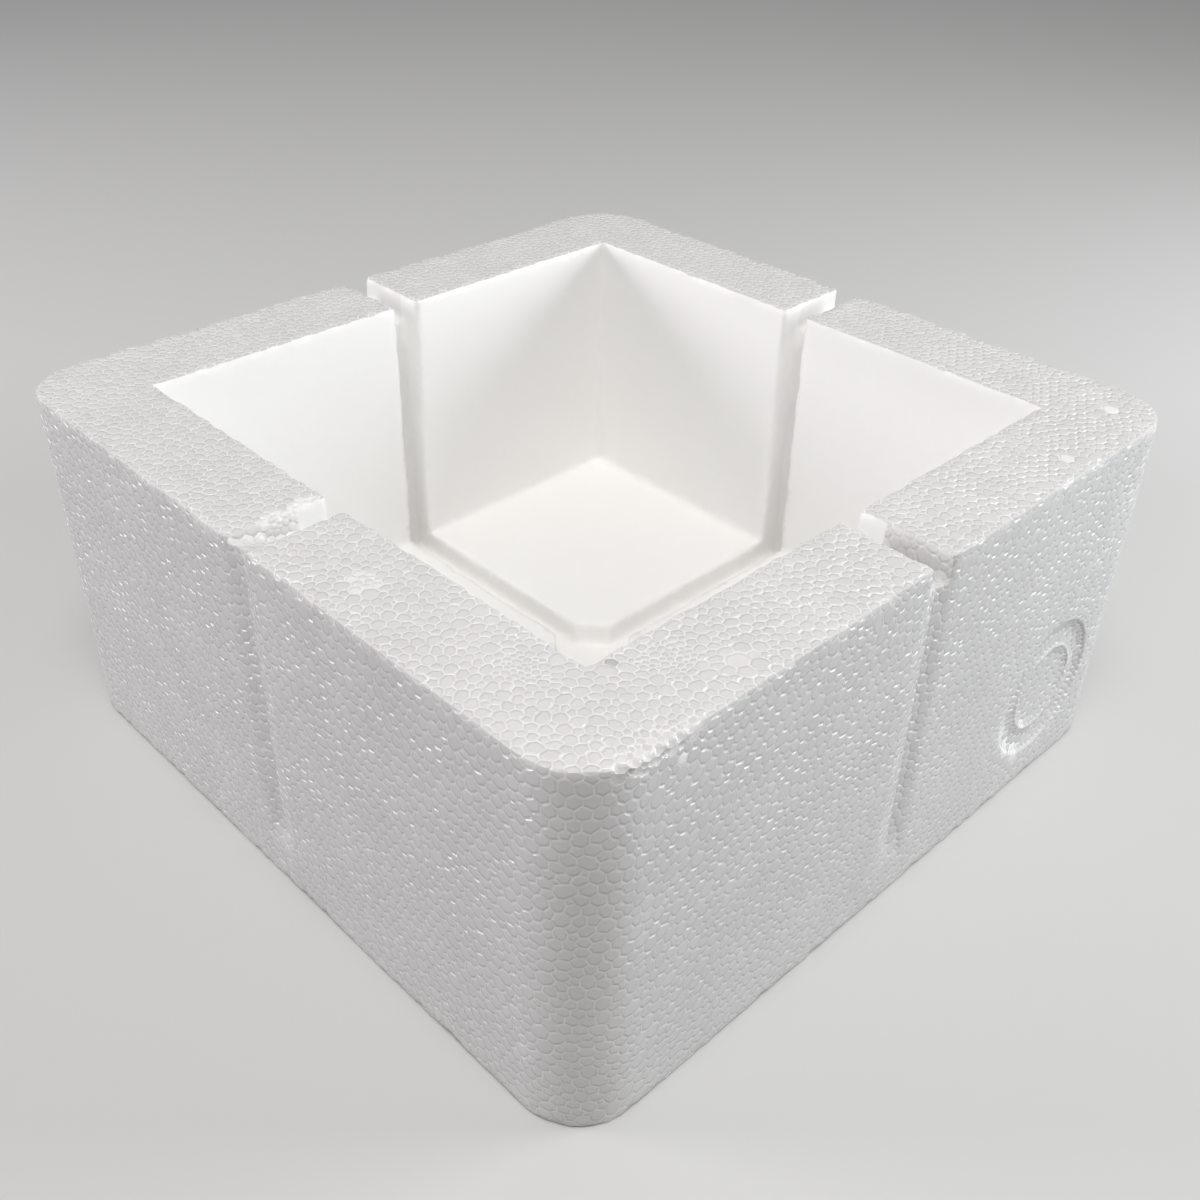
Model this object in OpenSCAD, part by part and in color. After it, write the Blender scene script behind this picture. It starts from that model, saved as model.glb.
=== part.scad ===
// Block of four snap-apart corner protectors, moulded in one piece of bead foam.
// A square open tray. Its walls and floor are scored through the middle, so that
// it breaks by hand into four corner pieces, each with three faces.
// Origin: middle of the underside. +Z is up, towards the open side.

/* [Block] */
// Outer width and depth of the square block
side = 170; // [130:1:240]
// Height from the underside to the rim
height = 80; // [50:1:120]
// Radius of the four upright outer corners
corner_r = 13; // [4:0.5:20]
// Rounding of the rim, base and cavity edges
edge_r = 1.2; // [0.4:0.1:2.5]

/* [Cavity] */
// Thickness of the four walls
wall = 20.5; // [16:0.5:28]
// Thickness of the floor
floor_t = 16; // [11:0.5:24]
// Radius of the cove between the floor and the walls
cove_r = 3; // [0.5:0.5:6]

/* [Score grooves] */
// Width of the grooves in the rim, the inner walls and the floor
groove_w = 6; // [3:0.5:9]
// Depth of the notches across the rim
rim_groove_d = 6; // [2:0.5:10]
// Depth of the upright grooves in the inner walls
inner_groove_d = 6; // [2:0.5:10]
// Depth of the crossed grooves in the floor
floor_groove_d = 6; // [2:0.5:8]
// Width of the shallow grooves down the outer walls
outer_groove_w = 7; // [4:0.5:10]
// Depth of the shallow grooves down the outer walls
outer_groove_d = 1.5; // [0.8:0.1:3]
// Height above the base at which the outer grooves run out
outer_groove_end = 9; // [4:0.5:25]
// Height of the ramp on which they run out
outer_groove_ramp = 5; // [2:0.5:12]
// Bevel along the lips of the grooves
groove_lip = 0.7; // [0.2:0.1:0.7]

/* [Crossing pocket] */
// Width across flats of the turned square pocket where the floor grooves cross
pocket_w = 17; // [12:0.5:30]

/* [Filler mark] */
// Diameter of the round filler mark on the +X wall
mark_d = 32; // [24:0.5:40]
// Depth of the filler mark
mark_depth = 1.2; // [0.5:0.1:2]
// Middle diameter of the raised ring inside the mark
mark_ring_d = 20; // [10:0.5:21]
// Width of the raised ring
mark_ring_w = 1.8; // [1:0.1:2.4]
// How far the top of the ring lies below the face of the wall
mark_ring_drop = 0.3; // [0.1:0.1:0.4]
// Distance from the middle of the mark to the +Y face
mark_inset = 32; // [30:0.5:38]
// Height of the middle of the mark above the base
mark_z = 24.5; // [22:0.5:28]

/* [Hidden] */
foam_white = [0.93, 0.93, 0.91];
half_side = side / 2;
cavity_half = half_side - wall;         // from the middle to an inner wall
corner_at = half_side - corner_r;       // axis of each upright outer corner
groove_floor = floor_t - floor_groove_d;
past = 1;                               // how far a cutter runs past a face
corner_fn = 96;
edge_fn = 48;

// Upright section from u = 0 out to u = reach, with its outer edges rounded.
module rounded_section(reach) {
    square([reach - edge_r, height]);
    translate([0, edge_r])
        square([reach, height - 2 * edge_r]);
    for (z = [edge_r, height - edge_r])
        translate([reach - edge_r, z])
            circle(r = edge_r, $fn = edge_fn);
}

// One half of a bar that runs between two opposite faces of the block.
module half_bar() {
    rotate([90, 0, 0])
        linear_extrude(height = 2 * corner_at, center = true)
            rounded_section(half_side);
}

module outer_body() {
    for (turn = [0:90:270])
        rotate([0, 0, turn]) {
            half_bar();
            translate([corner_at, corner_at, 0])
                rotate_extrude($fn = corner_fn)
                    rounded_section(corner_r);
        }
}

// Section through the cavity, with a cove at the floor and a rounded lip.
module cavity_section() {
    translate([-cavity_half, floor_t + cove_r])
        square([2 * cavity_half, height - floor_t - cove_r + past]);
    translate([cove_r - cavity_half, floor_t])
        square([2 * (cavity_half - cove_r), 2 * cove_r]);
    for (s = [0, 1])
        mirror([s, 0]) {
            translate([cavity_half - cove_r, floor_t + cove_r])
                circle(r = cove_r, $fn = edge_fn);
            difference() {
                translate([cavity_half - past, height - edge_r])
                    square([past + edge_r, edge_r + past]);
                translate([cavity_half + edge_r, height - edge_r])
                    circle(r = edge_r, $fn = edge_fn);
            }
        }
}

// The same section both ways, so the upright inner corners stay sharp.
module cavity() {
    intersection_for (turn = [0, 90])
        rotate([90, 0, turn])
            linear_extrude(height = side, center = true)
                cavity_section();
}

// Bevels along a groove that runs along X and opens towards +Z at z = 0.
module lip_bevel(width, length) {
    rotate([90, 0, 90])
        linear_extrude(height = length, center = true)
            polygon([
                [-width / 2, -groove_lip],
                [width / 2, -groove_lip],
                [width / 2 + groove_lip, 0],
                [width / 2 + groove_lip, edge_r],
                [-width / 2 - groove_lip, edge_r],
                [-width / 2 - groove_lip, 0]
            ]);
}

// Plan of the two crossed grooves.
module cross_plan(length) {
    for (turn = [0, 90])
        rotate(turn)
            square([length, groove_w], center = true);
}

// The inner wall grooves, the floor grooves and the turned pocket where they cross.
module inner_grooves() {
    translate([0, 0, groove_floor])
        linear_extrude(height = height + past - groove_floor) {
            cross_plan(2 * (cavity_half + inner_groove_d));
            rotate(45)
                square(pocket_w, center = true);
        }
}

module rim_notches() {
    translate([0, 0, height - rim_groove_d])
        linear_extrude(height = rim_groove_d + past)
            cross_plan(side + 2 * past);
}

// Bevels on the rim, the floor and the inner walls along the grooves that run along X.
module score_line_bevels() {
    translate([0, 0, height])
        lip_bevel(groove_w, side + 2 * past);
    translate([0, 0, floor_t])
        lip_bevel(groove_w, 2 * (cavity_half - cove_r));
    for (end = [0, 180])
        rotate([0, 0, end])
            translate([cavity_half, 0, (height + floor_t + cove_r) / 2])
                rotate([0, -90, 0])
                    lip_bevel(groove_w, height - floor_t - cove_r);
}

// Shallow groove down the outside of the +X wall, ending in a ramp.
module outer_groove() {
    ramp_top = outer_groove_end + outer_groove_ramp;
    translate([half_side, outer_groove_w / 2, 0])
        rotate([90, 0, 0])
            linear_extrude(height = outer_groove_w)
                polygon([
                    [0, outer_groove_end],
                    [-outer_groove_d, ramp_top],
                    [-outer_groove_d, height + past],
                    [past, height + past],
                    [past, outer_groove_end]
                ]);
    translate([half_side, 0, (height + ramp_top) / 2])
        rotate([0, 90, 0])
            lip_bevel(outer_groove_w, height - ramp_top);
}

// Round recess left by the bead filler, with a ring that the moving plug leaves.
module filler_mark() {
    ring_h = mark_depth - mark_ring_drop;
    translate([half_side - mark_depth, half_side - mark_inset, mark_z])
        rotate([0, 90, 0])
            difference() {
                cylinder(d = mark_d, h = mark_depth + past, $fn = corner_fn);
                difference() {
                    translate([0, 0, -past])
                        cylinder(d = mark_ring_d + mark_ring_w, h = ring_h + past, $fn = corner_fn);
                    translate([0, 0, -2 * past])
                        cylinder(d = mark_ring_d - mark_ring_w, h = mark_depth + 3 * past, $fn = corner_fn);
                }
            }
}

module corner_block() {
    color(foam_white)
        difference() {
            outer_body();
            cavity();
            inner_grooves();
            rim_notches();
            for (turn = [0, 90])
                rotate([0, 0, turn])
                    score_line_bevels();
            for (turn = [0:90:270])
                rotate([0, 0, turn])
                    outer_groove();
            filler_mark();
        }
}

corner_block();
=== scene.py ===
"""The looks of the polystyrene corner block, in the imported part's own frame.

A skin of moulded beads stands for the plain solid. Each bead that shows on the surface is a small
dome of mesh faces around its middle. The script lays bead middles over the block's faces, joins
neighbours into triangles, and turns each middle into a cell whose corners lie in the triangles
around it. Faces of the block share the middles along their common edge, so the skin is closed.
Lengths are in millimetres until the mesh is made.
"""

import math
from collections import namedtuple

import bpy
import numpy as np
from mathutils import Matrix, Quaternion, Vector
from mathutils.geometry import delaunay_2d_cdt


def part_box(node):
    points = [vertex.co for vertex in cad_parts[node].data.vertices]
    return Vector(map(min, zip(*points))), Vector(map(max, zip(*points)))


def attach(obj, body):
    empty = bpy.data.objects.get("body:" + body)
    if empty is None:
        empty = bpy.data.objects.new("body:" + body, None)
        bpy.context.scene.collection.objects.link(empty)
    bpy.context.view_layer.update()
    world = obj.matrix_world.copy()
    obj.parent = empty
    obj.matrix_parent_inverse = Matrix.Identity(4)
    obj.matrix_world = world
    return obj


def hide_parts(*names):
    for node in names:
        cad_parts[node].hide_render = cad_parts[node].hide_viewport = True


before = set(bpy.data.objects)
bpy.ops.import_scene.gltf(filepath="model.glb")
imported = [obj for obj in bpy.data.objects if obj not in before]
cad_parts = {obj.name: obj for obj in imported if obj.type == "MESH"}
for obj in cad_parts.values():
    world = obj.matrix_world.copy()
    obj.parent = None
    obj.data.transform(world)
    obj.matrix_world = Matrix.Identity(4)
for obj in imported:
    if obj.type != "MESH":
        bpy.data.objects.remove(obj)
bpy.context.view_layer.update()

MM = 0.001
rng = np.random.default_rng(7)

# The block, with the sizes of the part's source but for the outer grooves and the filler mark.
NODE = "corner_block"
_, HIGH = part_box(NODE)
HALF = HIGH.x / MM  # half the side
TOP = HIGH.z / MM
WALL = 20.5
FLOOR = 16.0
CORNER_R = 13.0
GROOVE = 3.0  # half the width of the score grooves
GROOVE_DEEP = 6.0
POCKET = 17.0  # across the flats
CAVITY = HALF - WALL
ROUND = HALF - CORNER_R
GROOVE_END = CAVITY + GROOVE_DEEP
GROOVE_FLOOR = FLOOR - GROOVE_DEEP
NOTCH = TOP - GROOVE_DEEP
POCKET_MEETS = POCKET / math.sqrt(2) - GROOVE

# The outer grooves. Their flanks slant from the lips to the bed, and they run out on a ramp.
OUTER_DEEP = 1.1
OUTER_LIP, OUTER_BED = 4.2, 0.6  # half the widths at the lips and at the bed
RAMP_LOW, RAMP_HIGH = 9.0, 14.0
OUTER_IN = HALF - OUTER_DEEP
NOTCH_OUT = HALF - OUTER_DEEP * (OUTER_LIP - GROOVE) / (OUTER_LIP - OUTER_BED)

# Two sides of the block are special. Sides are counted in quarter turns from +X.
MARKED_SIDE = 0  # has the filler mark
CLOSED_SIDE = 3  # torn beads close its notch at the outer end
CLOSED_NOTCH = TOP - 1.3  # height of the notch floor there

# The filler mark, as rings of one radius and depth each.
MARK_Y, MARK_Z = HALF - 32.0, 24.5
MARK_RINGS = ((16.4, 0.0), (15.0, 1.0), (11.3, 1.0), (10.0, 0.3), (8.7, 1.0))
MARK_PITCH = 1.5
MARK_JITTER = 0.1

# Kinds of face: the pitch of the beads, and their grain, which is how strongly they show. Grain
# also mixes the base colour from the cavity's near white to the outer skin's grey, which is partly
# painted light and shade.
GRAIN_OUTER, GRAIN_RIM, GRAIN_INNER = 1.0, 0.75, 0.1
OUTER = (2.45, GRAIN_OUTER)
RIM = (2.1, GRAIN_RIM)
INNER = (2.6, GRAIN_INNER)
BASE = (2.8, GRAIN_OUTER)
NOTCHES = ((2.1, 0.65), (2.1, 0.3), (2.1, 0.3), (2.1, 0.65))  # one for each side; the greyer flanks of the front notches are partly painted shade

# How the beads are laid. Jitters are shares of the pitch.
EDGE_PITCH = 2.2
EDGE_JITTER = 0.15
GRID_JITTER = 0.26
BORDER_JITTER = 0.25
RELAX_PASSES = 2
CLEARANCE = 0.55  # from an edge, as a share of its pitch
HONEYCOMB = math.sqrt(3) / 2  # distance between rows over the pitch

# How the beads are raised and the edges of the block softened.
FOLD = 0.25  # least fall across an edge that counts as convex
EDGE_ROUNDING, COVE_ROUNDING = 0.3, 0.5  # share of the way to the mean of a middle's neighbours
ROUNDING_RANGE = (0.2, 1.8)  # a convex edge is rounded unevenly
CRISP = 0.4  # least grain of a face with crisp bead borders
DOME = 0.04  # height of a bead's dome over its radius
UNEVEN = 0.03  # spread of the heights of the domes
RISE_RANGE = (0.3, 1.0)  # share of a spot's rise that a bead there takes
TONE_JITTER = 0.2  # between the beads of a spot

LEVEL_FACE = 0.9  # least rise of the normal of a face that counts as level
SAME_POINT = 1e-6
TINY = 1e-9

# Worn spots and spots of painted highlight: where, how far they reach, the pitch of the beads
# there (None for one bead), how far these stand proud, and their tone. A tone from 0 to 1 is a
# sound bead's, below 0 is dirty, and above 1 is whitened, for crushed beads and for painted
# highlights.
Spot = namedtuple("Spot", "at reach pitch rise tone")
SPOTS = (
    Spot((78.9, -45.6, TOP), 2.6, None, -0.8, 1.4),  # a dent in the front rim, its bead whitened as a painted highlight on the dent's lit lip
    Spot((72.0, -54.0, TOP), 4.2, 1.25, -0.15, 0.8),  # crushed patches
    Spot((58.0, -72.0, TOP), 4.0, 1.25, -0.15, 0.8),
    Spot((42.5, -67.2, TOP), 2.2, None, 0.3, 0.5),  # a bead that stands proud
    Spot((24.0, -75.7, TOP), 3.0, 1.7, 0.0, 1.45),  # a rubbed patch
    Spot((66.0, -61.2, TOP), 1.1, None, -0.3, -0.8),  # a dirty bead
    Spot((85.0, -76.0, TOP), 2.6, 1.1, -0.7, 1.3),  # a scuffed stretch of the edge, whitened partly as torn beads and partly as painted glints
    Spot((85.0, -71.5, TOP), 3.2, 1.1, -0.9, 1.5),
    Spot((85.0, -67.0, TOP), 2.8, 1.1, -0.9, 1.4),
    Spot((85.0, -62.5, TOP), 2.2, 1.1, -0.7, 1.3),
    Spot((85.0, -64.4, 75.3), 1.1, None, 0.15, 2.0),  # a chip
    Spot((74.7, 74.3, TOP), 2.8, None, 0.15, 1.8),  # swollen beads towards the right corner, whitened as painted highlights
    Spot((79.8, 48.7, TOP), 2.2, None, 0.10, 1.5),
    Spot((-2.0, -69.0, 76.5), 5.0, 1.2, 0.2, 1.8),  # torn beads in the front notch, whitened partly as torn foam and partly as painted light on its lit flank
    Spot((-2.5, -75.0, 77.5), 3.6, 1.2, 0.2, 1.6),
    Spot((-2.5, -80.0, 78.5), 2.4, 1.2, 0.1, 1.2),
    Spot((3.0, 71.0, 77.0), 3.0, 1.3, 0.1, 1.6),  # torn beads in the back notch, whitened partly as torn foam and partly as painted light on its lit flank
    Spot((85.0, 38.4, 18.0), 2.0, 1.5, 0.0, 1.5),  # painted highlights on the lit lower lips of the filler mark's rings
    Spot((85.0, 42.0, 13.2), 2.4, 1.5, 0.0, 1.8),
    Spot((85.0, 46.8, 10.0), 2.2, 1.5, 0.0, 1.6),
    Spot((85.0, 47.6, 16.8), 2.0, 1.5, 0.0, 1.7),
)


def quarter(point, turn):
    """A point turned about Z by some quarter turns."""
    x, y, z = point
    for _ in range(turn % 4):
        x, y = -y, x
    return (x, y, z)


class Plane:
    """Flat coordinates on a plane through a point, seen from outside."""

    def __init__(self, through, outward):
        self.normal = np.array(outward, float) / np.linalg.norm(outward)
        is_level = abs(self.normal[2]) >= LEVEL_FACE
        side = np.cross(self.normal, [0, 1, 0] if is_level else [0, 0, 1])
        self.u = side / np.linalg.norm(side)
        self.v = np.cross(self.normal, self.u)
        self.level = self.normal @ np.array(through)

    def flatten(self, points):
        return np.stack([points @ self.u, points @ self.v], 1)

    def lift(self, flat):
        return flat[:, :1] * self.u + flat[:, 1:] * self.v + self.level * self.normal


class RoundedWall:
    """Flat coordinates along the outside of one corner, from a +X face round to the +Y face."""

    def __init__(self, turn):
        self.turn = turn
        self.bend = CORNER_R * math.pi / 2

    def flatten(self, points):
        at = np.array([quarter(p, -self.turn) for p in points])
        x, y, z = at.T
        angle = np.arctan2(np.maximum(y - ROUND, 0), np.maximum(x - ROUND, TINY))
        along = np.where(y <= ROUND, y, ROUND + CORNER_R * angle)
        along = np.where(x < ROUND, ROUND + self.bend + (ROUND - x), along)
        return np.stack([along, z], 1)

    def lift(self, flat):
        s, z = flat.T
        angle = np.clip((s - ROUND) / CORNER_R, 0, math.pi / 2)
        x = ROUND + CORNER_R * np.cos(angle) - np.maximum(s - ROUND - self.bend, 0)
        y = np.minimum(s, ROUND) + CORNER_R * np.sin(angle)
        if self.turn == MARKED_SIDE:
            x = x - filler_mark(s, z)
        return np.array([quarter(p, self.turn) for p in np.stack([x, y, z], 1)])


def filler_mark(y, z):
    """Depth of the filler mark below the face of the wall."""
    radii, depths = zip(*sorted(MARK_RINGS))
    return np.interp(np.hypot(y - MARK_Y, z - MARK_Z), radii, depths, right=0.0)


def mark_rings():
    """Closed rows of beads along the rings of the filler mark."""
    rows = []
    for radius, _ in MARK_RINGS:
        count = round(2 * math.pi * radius / MARK_PITCH)
        steps = np.arange(count) + rng.uniform(-MARK_JITTER, MARK_JITTER, count)
        turn = 2 * math.pi * steps / count
        rows.append(np.stack([MARK_Y + radius * np.cos(turn), MARK_Z + radius * np.sin(turn)], 1))
    return rows


def corner_arc():
    """Points of one rounded corner, from the +X face to the +Y face."""
    steps = round(CORNER_R * math.pi / 2 / EDGE_PITCH)
    angles = [math.pi / 2 * i / steps for i in range(steps + 1)]
    return [(ROUND + CORNER_R * math.cos(a), ROUND + CORNER_R * math.sin(a)) for a in angles]


def inside(points, ring):
    """Which points lie in a closed outline."""
    x, y = points[:, :1], points[:, 1:]
    ax, ay = ring[:, 0], ring[:, 1]
    bx, by = np.roll(ax, -1), np.roll(ay, -1)
    crosses = (ay > y) != (by > y)
    slope = (bx - ax) / np.where(by == ay, 1, by - ay)
    return (crosses & (x < ax + (y - ay) * slope)).sum(1) % 2 == 1


def distance_to(points, starts, ends):
    """Distance from each point to the nearest of some segments."""
    run = ends - starts
    reach = points[:, None] - starts
    t = np.clip((reach * run).sum(2) / (run * run).sum(1), 0, 1)
    return np.linalg.norm(reach - t[..., None] * run, axis=2).min(1)


def honeycomb(ring, pitch):
    """A jittered honeycomb of points over an outline's box."""
    low, high = ring.min(0), ring.max(0)
    columns = np.arange(low[0], high[0], pitch)
    rows = np.arange(low[1], high[1], pitch * HONEYCOMB)
    x, y = np.meshgrid(columns, rows)
    x[1::2] += pitch / 2
    points = np.stack([x.ravel(), y.ravel()], 1)
    return points + rng.normal(0, GRID_JITTER * pitch, points.shape)


def from_spot(points, spot):
    """Distance from each point to a worn spot."""
    return np.linalg.norm(points - np.array(spot.at), axis=1)


def scatter(ring, shape, pitch):
    """Loose points over an outline, with the finer or coarser beads of the worn spots."""
    points = honeycomb(ring, pitch)
    for spot in SPOTS:
        if from_spot(shape.lift(points), spot).min() > max(spot.reach, pitch):
            continue
        if spot.pitch:
            own = honeycomb(ring, spot.pitch)
        else:
            own = shape.flatten(np.array([spot.at]))
        own = own[from_spot(shape.lift(own), spot) < spot.reach]
        points = points[from_spot(shape.lift(points), spot) > spot.reach]
        points = np.concatenate([points, own])
    return points


def triangulate(points, loops):
    """Triangles between flat points, inside the first loop and along every loop."""
    edges = [(a, b) for loop in loops for a, b in zip(loop, loop[1:] + loop[:1])]
    corners = [Vector(p) for p in points]
    _, _, faces, origins, _, _ = delaunay_2d_cdt(corners, edges, [loops[0]], 1, SAME_POINT)
    found = np.array([[origins[i][0] for i in face] for face in faces])
    a, b, c = (points[found[:, k]] for k in range(3))
    area = (b[:, 0] - a[:, 0]) * (c[:, 1] - a[:, 1]) - (b[:, 1] - a[:, 1]) * (c[:, 0] - a[:, 0])
    return np.where((area > 0)[:, None], found, found[:, ::-1])


def neighbour_means(points, triangles):
    """Each point's own place averaged with the mean of its neighbours."""
    a = triangles[:, [0, 1, 2, 1, 2, 0]].ravel()
    b = triangles[:, [1, 2, 0, 0, 1, 2]].ravel()
    count = np.bincount(a, minlength=len(points))[:, None]
    total = [np.bincount(a, points[b, k], len(points)) for k in range(points.shape[1])]
    return (points + np.stack(total, 1) / np.maximum(count, 1)) / 2


class Skin:
    """Bead middles, the triangles between them, and the edges of the block that they lie on."""

    def __init__(self):
        self.middles = []
        self.triangles = []
        self.borders = []  # for each triangle, the point where its three beads meet
        self.grain = []  # of each triangle
        self.strongest = {}  # grain around each middle
        self.corners = {}
        self.chains = {}
        self.edges = set()
        self.worn = {}  # the worn spot that a middle lies in

    def add(self, point):
        self.middles.append(tuple(float(c) for c in point))
        return len(self.middles) - 1

    def corner(self, point):
        key = tuple(round(c, 3) for c in point)
        if key not in self.corners:
            self.corners[key] = self.add(point)
        return self.corners[key]

    def join(self, ids):
        self.edges |= {(min(a, b), max(a, b)) for a, b in zip(ids, ids[1:])}

    def chain(self, start, end):
        """Middles along an edge, without the last. The faces on both sides share them."""
        a, b = self.corner(start), self.corner(end)
        if (a, b) not in self.chains:
            p, q = np.array(start), np.array(end)
            steps = max(1, round(np.linalg.norm(q - p) / EDGE_PITCH))
            shares = np.arange(1, steps) + rng.uniform(-EDGE_JITTER, EDGE_JITTER, steps - 1)
            ids = [a] + [self.add(p + (q - p) * t / steps) for t in shares] + [b]
            self.chains[a, b], self.chains[b, a] = ids, ids[::-1]
            self.join(ids)
        return self.chains[a, b][:-1]

    def face(self, outline, shape, kind, rings=()):
        """Lays beads over one face. rings are closed rows of flat points that the beads follow."""
        pitch, grain = kind
        ends = outline[1:] + outline[:1]
        ids = [i for p, q in zip(outline, ends) for i in self.chain(p, q)]
        ring = shape.flatten(np.array([self.middles[i] for i in ids]))
        rows = (ring, *rings)
        starts = np.concatenate(rows)
        stops = np.concatenate([np.roll(row, -1, 0) for row in rows])
        loose = scatter(ring, shape, pitch)
        loose = loose[inside(loose, ring)]
        loose = loose[distance_to(loose, starts, stops) > CLEARANCE * EDGE_PITCH]
        flat = np.concatenate([starts, loose])

        loops, fixed = [], 0
        for row in rows:
            loops.append(list(range(fixed, fixed + len(row))))
            fixed += len(row)
        for _ in range(RELAX_PASSES):
            flat[fixed:] = neighbour_means(flat, triangulate(flat, loops))[fixed:]
        found = triangulate(flat, loops)
        lifted = shape.lift(flat)
        ids += [self.add(p) for p in lifted[len(ids):]]
        for loop in loops[1:]:
            self.join([ids[i] for i in loop + loop[:1]])
        self.triangles.append(np.array(ids)[found])
        pull = rng.uniform(1 - BORDER_JITTER, 1 + BORDER_JITTER, (len(found), 3, 1))
        self.borders.append(shape.lift((flat[found] * pull).sum(1) / pull.sum(1)))
        self.grain.append(np.full(len(found), grain))
        for i in ids:
            self.strongest[i] = max(grain, self.strongest.get(i, 0))
        for spot in SPOTS:
            near = from_spot(lifted, spot) < spot.reach
            self.worn.update({ids[i]: spot for i in np.flatnonzero(near)})


def lay_side(skin, turn):
    """Lays the faces of one side of the block and of the corner that follows it.

    Outlines and directions are written for the +X side and the +X+Y corner.
    """
    g, lip, f, c, far, k = GROOVE, OUTER_LIP, OUTER_BED, CAVITY, GROOVE_END, POCKET_MEETS
    out, bed, down, up = NOTCH_OUT, OUTER_IN, RAMP_LOW, RAMP_HIGH
    low, floor, notch, top = GROOVE_FLOOR, FLOOR, NOTCH, TOP
    shelf = CLOSED_NOTCH if turn == CLOSED_SIDE else notch
    rough = NOTCHES[turn]

    def lay(outline, outward, kind):
        outline = [quarter(p, turn) for p in outline]
        skin.face(outline, Plane(outline[0], quarter(outward, turn)), kind)

    for s in (1, -1):
        flank = [(far, top), (c, top), (c, floor), (k, floor), (k, low), (far, low), (far, notch)]
        lay([(x, s * g, z) for x, z in flank], (0, -s, 0), INNER)
        flank = [(out, top), (far, top), (far, notch), (out, shelf)]
        lay([(x, s * g, z) for x, z in flank], (0, -s, 0), rough)
        inner_wall = [(g, floor), (c, floor), (c, top), (g, top)]
        lay([(c, s * y, z) for y, z in inner_wall], (-1, 0, 0), INNER)
        flank = [(bed, f, up), (HALF, lip, down), (HALF, lip, top)]
        flank += [(out, g, top), (out, g, shelf), (bed, f, shelf)]
        lay([(x, s * y, z) for x, y, z in flank], (lip - f, s * (bed - HALF), 0), OUTER)
    ledge = [(far, -g, notch), (out, -g, shelf), (bed, -f, shelf)]
    ledge += [(x, -y, z) for x, y, z in reversed(ledge)]
    lay(ledge, (notch - shelf, 0, out - far), rough)
    lay([(far, -g, low), (far, -g, notch), (far, g, notch), (far, g, low)], (-1, 0, 0), INNER)
    lay([(k, g, low), (g, k, low), (g, k, floor), (k, g, floor)], (-1, -1, 0), INNER)
    pad = [(k, g, floor), (c, g, floor), (c, c, floor), (g, c, floor), (g, k, floor)]
    lay(pad, (0, 0, 1), INNER)

    foot = [(HALF, -lip, 0), (HALF, lip, 0), (HALF, lip, down), (HALF, -lip, down)]
    lay(foot, (1, 0, 0), OUTER)
    lay([(bed, -f, up), (bed, f, up), (bed, f, shelf), (bed, -f, shelf)], (1, 0, 0), OUTER)
    ramp = [(bed, -f, up), (bed, f, up), (HALF, lip, down), (HALF, -lip, down)]
    lay(ramp, (up - down, 0, OUTER_DEEP), OUTER)

    arc = corner_arc()
    rim = [(c, g, top), (far, g, top), (out, g, top), (HALF, lip, top)]
    rim += [(x, y, top) for x, y in arc]
    rim += [(lip, HALF, top), (g, out, top), (g, far, top), (g, c, top), (c, c, top)]
    lay(rim, (0, 0, 1), RIM)
    wall = [(HALF, lip, 0)] + [(x, y, 0) for x, y in arc]
    wall += [(lip, HALF, 0), (lip, HALF, down), (lip, HALF, top)]
    wall += [(x, y, top) for x, y in reversed(arc)] + [(HALF, lip, top), (HALF, lip, down)]
    rings = mark_rings() if turn == MARKED_SIDE else ()
    skin.face([quarter(p, turn) for p in wall], RoundedWall(turn), OUTER, rings)


def lay_block():
    skin = Skin()
    for turn in range(4):
        lay_side(skin, turn)
    k, g, far = POCKET_MEETS, GROOVE, GROOVE_END
    cross = [(k, -g), (far, -g), (far, g), (k, g)]
    cross = [quarter((x, y, GROOVE_FLOOR), turn) for turn in range(4) for x, y in cross]
    skin.face(cross, Plane(cross[0], (0, 0, 1)), INNER)
    base = [(HALF, -OUTER_LIP), (HALF, OUTER_LIP)] + corner_arc()
    base = [quarter((x, y, 0), turn) for turn in range(4) for x, y in base]
    skin.face(base, Plane(base[0], (0, 0, -1)), BASE)
    return skin


def unit(vectors):
    return vectors / np.maximum(np.linalg.norm(vectors, axis=1, keepdims=True), TINY)


def keys_of(pairs, count):
    """One number for each pair of vertices, whichever comes first."""
    pairs = np.sort(pairs, 1).astype(np.int64)
    return pairs[:, 0] * count + pairs[:, 1]


def find(wanted, keys):
    """Where each wanted key stands among the keys. One that is missing gives any place."""
    order = np.argsort(keys)
    at = np.searchsorted(keys[order], wanted)
    return order[np.minimum(at, len(keys) - 1)]


def soften_edges(middles, triangles, edges, convex):
    """The middles, with those along the block's edges drawn in towards their neighbours."""
    rounding = np.zeros((len(middles), 1))
    rounding[edges[~convex]] = COVE_ROUNDING
    rounding[edges[convex]] = EDGE_ROUNDING * rng.uniform(*ROUNDING_RANGE, (convex.sum(), 2, 1))
    return middles + 2 * rounding * (neighbour_means(middles, triangles) - middles)


def raise_beads(points, faces, strongest, worn):
    """Lifts each middle into a dome. Gives border distances, bead radii and bead tones."""
    n = len(strongest)
    home, x, y = (points[faces[:, i]] for i in range(3))
    outward = np.cross(x - home, y - home)
    height = np.linalg.norm(outward, axis=1) / np.linalg.norm(y - x, axis=1)
    radius = np.bincount(faces[:, 0], height, n) / np.bincount(faces[:, 0], minlength=n)
    normals = np.zeros((n, 3))
    np.add.at(normals, faces[:, 0], outward)
    tone = rng.uniform(0, 1, n)
    raised = strongest * (DOME * radius + UNEVEN * (tone - 0.5))
    for i, spot in worn.items():
        raised[i] += spot.rise * rng.uniform(*RISE_RANGE)
        tone[i] = spot.tone + rng.uniform(-TONE_JITTER, TONE_JITTER)
    points[:n] += unit(normals) * raised[:, None]
    points[:, 2] = np.maximum(points[:, 2], 0)  # the base lies flat on the bench
    return height, radius, tone


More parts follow.
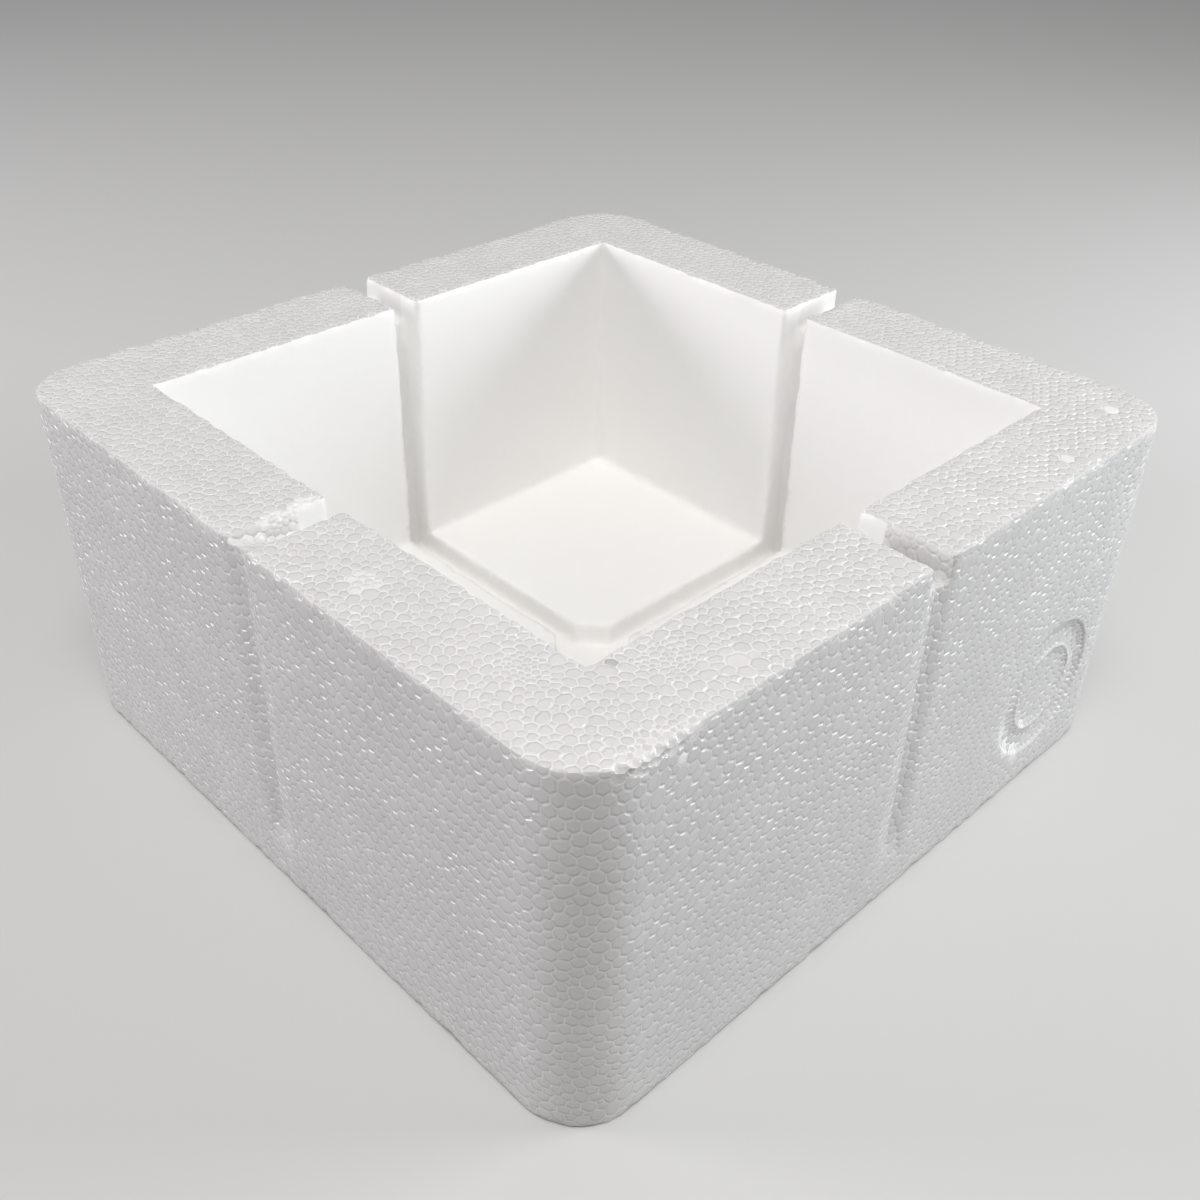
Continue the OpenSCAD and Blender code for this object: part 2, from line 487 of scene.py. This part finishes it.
def bead_mesh(skin):
    """Turns the triangles between bead middles into one cell of faces around each middle.

    A face runs from the middle of a bead to one side of its border. Where that side crosses an
    edge of the block, it is split in two there.
    """
    middles = np.array(skin.middles)
    triangles = np.concatenate(skin.triangles)
    borders = np.concatenate(skin.borders)
    own_grain = np.concatenate(skin.grain)
    edges = np.array(sorted(skin.edges))
    n = len(middles)

    a, b = triangles.ravel(), np.roll(triangles, -1, 1).ravel()
    owner = np.repeat(np.arange(len(triangles)), 3)
    across = owner[find(b * n + a, a * n + b)]
    side_keys, edge_keys = keys_of(np.stack([a, b], 1), n), keys_of(edges, n)
    edge = find(side_keys, edge_keys)
    is_split = edge_keys[edge] == side_keys

    corners = middles[triangles]
    facing = unit(np.cross(corners[:, 1] - corners[:, 0], corners[:, 2] - corners[:, 0]))
    slope = (facing[owner] * unit(borders[across] - borders[owner])).sum(1)[is_split]
    convex = np.zeros(len(edges), bool)
    convex[edge[is_split][slope < -FOLD]] = True
    middles = soften_edges(middles, triangles, edges, convex)

    first_split = n + len(borders)
    left, right, halfway = n + owner, n + across, first_split + edge
    faces = np.concatenate([
        np.stack([a, right, left], 1)[~is_split],
        np.stack([a, right, halfway], 1)[is_split],
        np.stack([a, halfway, left], 1)[is_split],
    ])
    grain = np.concatenate([
        own_grain[owner][~is_split],
        own_grain[across][is_split],
        own_grain[owner][is_split],
    ])
    points = np.concatenate([middles, borders, middles[edges].mean(1)])
    strongest = np.array([skin.strongest[i] for i in range(n)])
    height, radius, tone = raise_beads(points, faces, strongest, skin.worn)

    halves = np.column_stack([edges, first_split + np.arange(len(edges))])
    halves = halves[convex & (strongest[edges].min(1) > CRISP)]
    crisp = np.concatenate([faces[grain > CRISP, 1:], halves[:, [0, 2]], halves[:, [1, 2]]])
    return points, faces, height, radius, tone, grain, crisp


def add_attribute(mesh, name, kind, domain, field, values):
    attribute = mesh.attributes.new(name, kind, domain)
    attribute.data.foreach_set(field, values)


def make_block(skin):
    points, faces, height, radius, tone, grain, crisp = bead_mesh(skin)
    mesh = bpy.data.meshes.new("foam_block")
    mesh.from_pydata((points * MM).tolist(), [], faces.tolist())
    mesh.shade_smooth()
    ends = np.empty(len(mesh.edges) * 2, np.int32)
    mesh.edges.foreach_get("vertices", ends)
    crease = np.isin(keys_of(ends.reshape(-1, 2), len(points)), keys_of(crisp, len(points)))
    add_attribute(mesh, "sharp_edge", "BOOLEAN", "EDGE", "value", crease)

    cell = np.repeat(faces[:, 0], 3)
    to_border = np.zeros((len(faces), 3))
    to_border[:, 0] = height
    bead = np.stack([to_border.ravel(), radius[cell], tone[cell]], 1)
    offset = points[faces.ravel()] - points[cell]
    for name, values in (("bead", bead), ("bead_offset", offset)):
        values = values.astype(np.float32).ravel()
        add_attribute(mesh, name, "FLOAT_VECTOR", "CORNER", "vector", values)
    grain = np.repeat(grain, 3).astype(np.float32)
    add_attribute(mesh, "grain", "FLOAT", "CORNER", "value", grain)
    mesh.materials.append(foam_material())
    block = bpy.data.objects.new("foam_block", mesh)
    bpy.context.scene.collection.objects.link(block)
    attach(block, "root")
    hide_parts(NODE)


class Nodes:
    """A material's node tree, with a short way to add a node."""

    def __init__(self, name):
        self.material = bpy.data.materials.new(name)
        self.material.use_nodes = True
        self.tree = self.material.node_tree
        self.tree.nodes.clear()

    def add(self, kind, inputs, output=0, **settings):
        made = self.tree.nodes.new(kind)
        for name, value in settings.items():
            setattr(made, name, value)
        for name, value in inputs.items():
            if isinstance(value, bpy.types.NodeSocket):
                self.tree.links.new(value, made.inputs[name])
            else:
                made.inputs[name].default_value = value
        return made.outputs[output]

    def finish(self, shader):
        out = self.tree.nodes.new("ShaderNodeOutputMaterial")
        self.tree.links.new(shader, out.inputs["Surface"])
        return self.material

    def math(self, operation, *values):
        return self.add("ShaderNodeMath", dict(enumerate(values)), operation=operation)

    def times(self, first, *others):
        for other in others:
            first = self.math("MULTIPLY", first, other)
        return first

    def ramp(self, value, low, high, to_low=0.0, to_high=1.0):
        """A smooth step between two values."""
        names = ("Value", "From Min", "From Max", "To Min", "To Max")
        inputs = dict(zip(names, (value, low, high, to_low, to_high)))
        return self.add("ShaderNodeMapRange", inputs, interpolation_type="SMOOTHSTEP")

    def mix(self, share, first, second):
        """A mix of two colours. The node's other sockets are for numbers and vectors."""
        made = self.tree.nodes.new("ShaderNodeMix")
        made.data_type = "RGBA"
        sockets = (made.inputs[0], made.inputs[6], made.inputs[7])
        for socket, value in zip(sockets, (share, first, second)):
            if isinstance(value, bpy.types.NodeSocket):
                self.tree.links.new(value, socket)
            else:
                socket.default_value = (*value, 1)
        return made.outputs[2]

    def noise(self, scale, detail):
        place = self.add("ShaderNodeTexCoord", {}, "Object")
        return self.add("ShaderNodeTexNoise", {"Vector": place, "Scale": scale, "Detail": detail})

    def attribute(self, name, output):
        return self.add("ShaderNodeAttribute", {}, output, attribute_name=name)


# The foam. Distances are in millimetres from the border of a bead. A noise is the number of its
# waves per metre and its detail.
FOAM_BEAD_AND_PAINTED_SHADE = (0.652, 0.642, 0.64)  # the skin of a bead; its grey is partly the skin's own tone and partly painted shade on the outer walls and rim
FOAM_SEAM_AND_HIGHLIGHT = (0.93, 0.92, 0.915)  # where beads are fused or crushed, and painted highlights
FOAM_INSIDE_AND_PAINTED_LIGHT = (0.97, 0.965, 0.95)  # the smoother faces of the cavity; their near white is partly painted light for the lit cavity
BEAD_CORNER = 1.15  # past this share of its radius a bead is rounded off
WOBBLE, WOBBLE_NOISE = 0.16, (900.0, 2.0)  # of the borders
SEAM_FROM, SEAM_TO = 0.03, 0.19
SEAM_NOISE, SEAM_BAND, SEAM_FAINT = (600.0, 2.0), (0.38, 0.62), 0.3  # light seams come and go
SEAM_GRAIN = 0.6  # least grain with light seams
SEAM_ON_WALLS = 0.5  # over the strength on the rim
MOTTLE, MOTTLE_NOISE, MOTTLE_BAND = 0.03, (60.0, 4.0), (0.3, 0.7)
TONE_SHADE, DIRT_SHADE = 0.02, 0.3
SHOULDER = 0.5  # where a bead's pillow levels out
PILLOW_GRAIN = 0.4  # least grain with pillows
PILLOW_ON_RIM = 2.2  # over the height on the walls
PORES, PORE_NOISE = 0.2, (2500.0, 3.0)
SKIN_RELIEF, GLOSS_RELIEF = 0.075 * MM, 0.33 * MM
ROUGHNESS = (0.5, 0.65)  # varies from bead to bead
SPECULAR = 0.4
SCATTER, SCATTER_DEPTH = 0.3, 2.0 * MM
COAT, COAT_ROUGH = 0.9, 0.17


def border_distance(n):
    """Distance to the border of a bead, with its corners rounded off, and the bead's tone."""
    bead = n.attribute("bead", "Vector")
    to_border, radius, tone = n.add("ShaderNodeSeparateXYZ", {"Vector": bead}).node.outputs
    offset = n.attribute("bead_offset", "Vector")
    reach = n.add("ShaderNodeVectorMath", {0: offset}, "Value", operation="LENGTH")
    corner = n.math("SUBTRACT", reach, n.times(radius, BEAD_CORNER))
    distance = n.math("SUBTRACT", to_border, n.math("MAXIMUM", corner, 0.0))
    wobble = n.times(n.math("SUBTRACT", n.noise(*WOBBLE_NOISE), 0.5), WOBBLE)
    return n.math("ADD", distance, wobble), tone


def foam_colour(n, distance, tone, grain):
    """Flat greyish bead skins between thin, light seams, and white where beads are crushed or a
    highlight is painted. The skins' grey against the cavity's near white is partly painted shade
    and light, and the light seams are partly painted highlight.
    """
    # The light seams are partly the fused skins' own lighter colour and partly painted highlight
    # along the bead borders, strongest on the rim.
    seam = n.ramp(distance, SEAM_FROM, SEAM_TO, 1.0, 0.0)
    strength = n.ramp(n.noise(*SEAM_NOISE), *SEAM_BAND, SEAM_FAINT, 1.0)
    on_rim = n.ramp(grain, SEAM_GRAIN, GRAIN_RIM)
    on_walls = n.ramp(grain, GRAIN_RIM, GRAIN_OUTER, 1.0, SEAM_ON_WALLS)
    light = n.times(seam, strength, n.times(on_rim, on_walls))
    # Tones above 1 whiten a bead, for crushed foam and for painted highlights at some spots.
    light = n.math("MAXIMUM", light, n.ramp(tone, 1.0, 2.0))

    mottle = n.ramp(n.noise(*MOTTLE_NOISE), *MOTTLE_BAND, -MOTTLE, MOTTLE)
    uneven = n.ramp(tone, 0.0, 1.0, -TONE_SHADE, TONE_SHADE)
    dirt = n.ramp(tone, -1.0, 0.0, -DIRT_SHADE, 0.0)
    shade = n.times(n.math("ADD", n.math("ADD", uneven, dirt), mottle), grain)
    # Painted light and shade: the cavity's near-white and the outer skin's grey base colours stand
    # in partly for the lit cavity and the shaded outer faces.
    skin = n.mix(grain, FOAM_INSIDE_AND_PAINTED_LIGHT, FOAM_BEAD_AND_PAINTED_SHADE)
    brightness = n.math("ADD", shade, 1.0)
    skin = n.add("ShaderNodeVectorMath", {0: skin, "Scale": brightness}, operation="SCALE")
    return n.mix(light, skin, FOAM_SEAM_AND_HIGHLIGHT)


def foam_material():
    """White bead foam: each bead is a low pillow with a thin, glossy skin."""
    n = Nodes("bead_foam")
    distance, tone = border_distance(n)
    grain = n.attribute("grain", "Fac")
    colour = foam_colour(n, distance, tone, grain)
    pillow = n.times(n.ramp(distance, 0.0, SHOULDER), n.ramp(grain, PILLOW_GRAIN, GRAIN_RIM))
    dome = n.times(pillow, n.ramp(grain, GRAIN_RIM, GRAIN_OUTER, PILLOW_ON_RIM, 1.0))
    bump = n.math("ADD", dome, n.times(n.noise(*PORE_NOISE), PORES))
    normal = n.add("ShaderNodeBump", {"Strength": 1.0, "Distance": SKIN_RELIEF, "Height": bump})
    gloss = n.add("ShaderNodeBump", {"Strength": 1.0, "Distance": GLOSS_RELIEF, "Height": pillow})
    inputs = {
        "Base Color": colour,
        "Roughness": n.ramp(tone, 0.0, 1.0, *ROUGHNESS),
        "Specular IOR Level": SPECULAR,
        "Subsurface Weight": SCATTER,
        "Subsurface Radius": (1.0, 1.0, 1.0),
        "Subsurface Scale": SCATTER_DEPTH,
        "Normal": normal,
        "Coat Weight": n.times(grain, COAT),
        "Coat Roughness": COAT_ROUGH,
        "Coat Normal": gloss,
    }
    return n.finish(n.add("ShaderNodeBsdfPrincipled", inputs))


# The camera stands where the photographer's did.
CAMERA_AT = (177.1, -173.7, 200.6)
CAMERA_TARGET = (0.0, 2.3, 27.8)
CAMERA_ROLL = math.radians(1.33)
LENS, SENSOR = 39.76, 36.0


def make_camera():
    data = bpy.data.cameras.new("camera")
    data.lens, data.sensor_width = LENS, SENSOR
    data.clip_start = 0.01
    camera = bpy.data.objects.new("camera", data)
    camera.location = Vector(CAMERA_AT) * MM
    look = (Vector(CAMERA_TARGET) - Vector(CAMERA_AT)).to_track_quat("-Z", "Y")
    camera.rotation_mode = "QUATERNION"
    camera.rotation_quaternion = look @ Quaternion((0, 0, 1), CAMERA_ROLL)
    bpy.context.scene.collection.objects.link(camera)
    bpy.context.scene.camera = camera


# The studio, in metres and watts.
FLOOR_COLOUR = (0.62, 0.62, 0.61)  # as the camera sees it
FLOOR_BOUNCE = (0.40, 0.40, 0.40)  # as the block is lit by it
FLOOR_REACH, FLOOR_LEVEL = 4.0, -0.0002
WORLD_COLOUR = (0.98, 0.97, 1.0)
WORLD_STRENGTH = 0.30
# Azimuth and elevation in degrees, distance, size, power and colour of each lamp.
LAMPS = {
    "lamp_right": (50, 20, 0.66, 0.3, 2.6, (0.93, 0.97, 1.0)),
    "lamp_left": (225, 20, 0.9, 0.3, 3.2, (0.97, 0.95, 1.0)),
    "lamp_over": (-45, 68, 1.2, 0.5, 7.3, (1.0, 0.98, 0.94)),
}


def make_floor():
    n = Nodes("studio_floor")
    path = n.add("ShaderNodeLightPath", {}).node.outputs
    mirrored = n.math("MAXIMUM", path["Is Glossy Ray"], path["Is Transmission Ray"])
    seen = n.math("MAXIMUM", path["Is Camera Ray"], mirrored)
    colour = n.mix(seen, FLOOR_BOUNCE, FLOOR_COLOUR)
    inputs = {"Base Color": colour, "Roughness": 1.0, "Specular IOR Level": 0.0}
    material = n.finish(n.add("ShaderNodeBsdfPrincipled", inputs))
    mesh = bpy.data.meshes.new("studio_floor")
    signs = ((-1, -1), (1, -1), (1, 1), (-1, 1))
    ends = [(x * FLOOR_REACH, y * FLOOR_REACH, FLOOR_LEVEL) for x, y in signs]
    mesh.from_pydata(ends, [], [(0, 1, 2, 3)])
    mesh.materials.append(material)
    floor = bpy.data.objects.new("studio_floor", mesh)
    bpy.context.scene.collection.objects.link(floor)


def make_lamp(name, azimuth, elevation, distance, size, power, colour):
    """A soft square lamp that looks at the block. Azimuth is counted from +X towards +Y."""
    data = bpy.data.lights.new(name, "AREA")
    data.shape, data.size = "SQUARE", size
    data.energy, data.color = power, colour
    lamp = bpy.data.objects.new(name, data)
    a, e = math.radians(azimuth), math.radians(elevation)
    out = Vector((math.cos(a) * math.cos(e), math.sin(a) * math.cos(e), math.sin(e)))
    lamp.location = out * distance
    lamp.rotation_mode = "QUATERNION"
    lamp.rotation_quaternion = (-out).to_track_quat("-Z", "Y")
    bpy.context.scene.collection.objects.link(lamp)


def make_world():
    world = bpy.data.worlds.new("studio")
    world.use_nodes = True
    sky = world.node_tree.nodes["Background"]
    sky.inputs["Color"].default_value = (*WORLD_COLOUR, 1)
    sky.inputs["Strength"].default_value = WORLD_STRENGTH
    bpy.context.scene.world = world


make_block(lay_block())
make_camera()
make_floor()
for lamp_name, lamp_values in LAMPS.items():
    make_lamp(lamp_name, *lamp_values)
make_world()
bpy.context.scene.view_settings.view_transform = "Standard"
